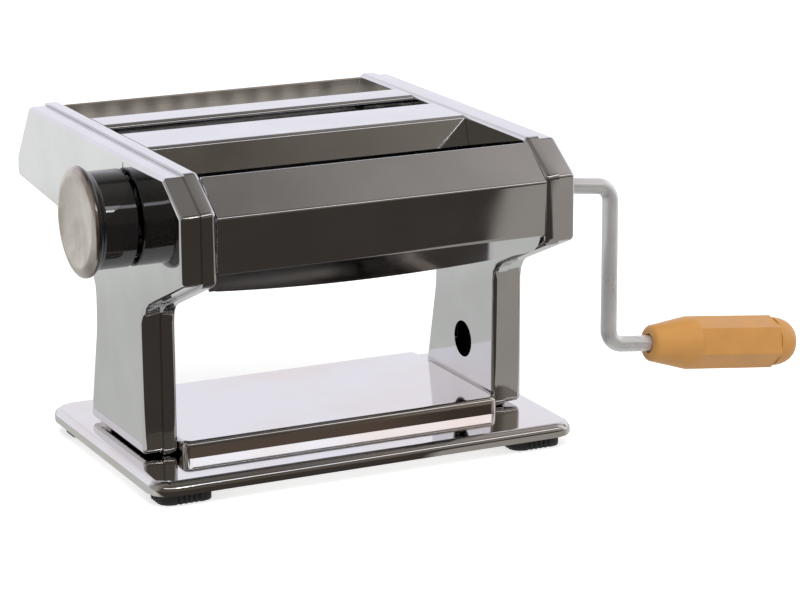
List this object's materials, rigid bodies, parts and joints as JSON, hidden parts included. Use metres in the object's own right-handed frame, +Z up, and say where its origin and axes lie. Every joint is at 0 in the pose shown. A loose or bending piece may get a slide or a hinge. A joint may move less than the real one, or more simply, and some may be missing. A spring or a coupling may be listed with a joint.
{
  "type": "pasta machine",
  "caption": "Hand-cranked pasta machine: smooth rollers with an adjustable gap and cutter rollers between sheet-metal side plates on a base.",
  "frame": {"origin": "on the table, under the centre of the base's raised platform", "axes": "+X along the rollers towards the crank, +Y from the feed side to the back, +Z up"},
  "size_m": [0.3369, 0.2079, 0.1433],
  "materials": {
    "chrome": "polished",
    "knob_chrome": "polished",
    "knob_cap": "satin",
    "rubber": "matte",
    "bronze": "satin",
    "nylon": "matte",
    "grip_plastic": "satin",
    "crank_steel": "satin",
    "roller_steel": "polished",
    "steel": "satin"
  },
  "bodies": {
    "housing": {"base_tray": "chrome", "rubber_feet": "rubber", "base_screws": "steel", "left_inner_plate": "chrome", "right_inner_plate": "chrome", "left_side_cover": "chrome", "right_side_cover": "chrome", "front_cover": "chrome", "centre_bar": "chrome", "cutter_bar": "chrome", "rear_cover": "chrome", "tie_rods": "steel", "tie_rod_screws": "steel", "roller_bearings": "bronze", "cutter_bearings": "bronze", "adjuster_bearing": "bronze", "adjuster_end_bush": "bronze", "front_scraper": "steel", "rear_scraper": "steel", "narrow_combs": "steel", "wide_combs": "steel"},
    "drive": {"drive_roller": "roller_steel", "drive_gear": "steel", "drive_socket": "steel"},
    "crank": {"crank_rod": "crank_steel", "crank_key": "crank_steel"},
    "grip": {"handle_grip": "grip_plastic", "grip_cap": "grip_plastic"},
    "carrier": {"roller_sleeves": "nylon"},
    "adjust": {"adjust_roller": "roller_steel", "adjust_gear": "steel"},
    "adjuster": {"eccentric_shaft": "steel", "shaft_nut": "steel", "knob_spring": "steel"},
    "knob": {"knob_barrel": "knob_chrome", "knob_cap": "knob_cap", "index_pin": "steel"},
    "narrow_drive": {"narrow_cutter_front": "roller_steel", "narrow_gear_front": "steel", "narrow_socket": "steel"},
    "narrow_idle": {"narrow_cutter_rear": "roller_steel", "narrow_gear_rear": "steel"},
    "wide_drive": {"wide_cutter_front": "roller_steel", "wide_gear_front": "steel", "wide_socket": "steel"},
    "wide_idle": {"wide_cutter_rear": "roller_steel", "wide_gear_rear": "steel"}
  },
  "joints": [
    {"name": "crank_turn", "type": "hinge", "parent": "housing", "child": "drive", "pos_m": [0.0854, -0.0446, 0.1168], "axis": [1, 0, 0], "continuous": true},
    {"name": "crank_pull", "type": "slide", "parent": "drive", "child": "crank", "axis": [1, 0, 0], "range_m": [0, 0.03]},
    {"name": "grip_spin", "type": "hinge", "parent": "crank", "child": "grip", "pos_m": [0.17504, -0.06034, 0.03657], "axis": [0.9942, -0.0208, -0.106], "continuous": true},
    {"name": "knob_turn", "type": "hinge", "parent": "housing", "child": "adjuster", "pos_m": [-0.1, -0.0186, 0.11562], "axis": [1, 0, 0], "range_deg": [0, 96]},
    {"name": "knob_pull", "type": "slide", "parent": "adjuster", "child": "knob", "axis": [-1, 0, 0], "range_m": [0, 0.003], "stiffness_N_per_m": 1500, "springref_m": -0.002, "deforming": ["knob_spring"]},
    {"name": "gap_slide", "type": "slide", "parent": "housing", "child": "carrier", "axis": [0, -1, 0], "range_m": [0, 0.0021]},
    {"name": "adjust_spin", "type": "hinge", "parent": "carrier", "child": "adjust", "pos_m": [0, -0.01755, 0.1168], "axis": [1, 0, 0], "continuous": true},
    {"name": "narrow_turn", "type": "hinge", "parent": "housing", "child": "narrow_drive", "pos_m": [0, 0.0245, 0.1195], "axis": [1, 0, 0], "continuous": true},
    {"name": "narrow_follow", "type": "hinge", "parent": "housing", "child": "narrow_idle", "pos_m": [0, 0.0445, 0.1195], "axis": [1, 0, 0], "continuous": true},
    {"name": "wide_turn", "type": "hinge", "parent": "housing", "child": "wide_drive", "pos_m": [0, 0.073, 0.1195], "axis": [1, 0, 0], "continuous": true},
    {"name": "wide_follow", "type": "hinge", "parent": "housing", "child": "wide_idle", "pos_m": [0, 0.093, 0.1195], "axis": [1, 0, 0], "continuous": true}
  ],
  "couplings": [
    {"joint": "gap_slide", "follows": "knob_turn", "m_per_rad": 0.001253},
    {"joint": "adjust_spin", "follows": "crank_turn", "ratio": -1},
    {"joint": "narrow_follow", "follows": "narrow_turn", "ratio": -1},
    {"joint": "wide_follow", "follows": "wide_turn", "ratio": -1}
  ]
}
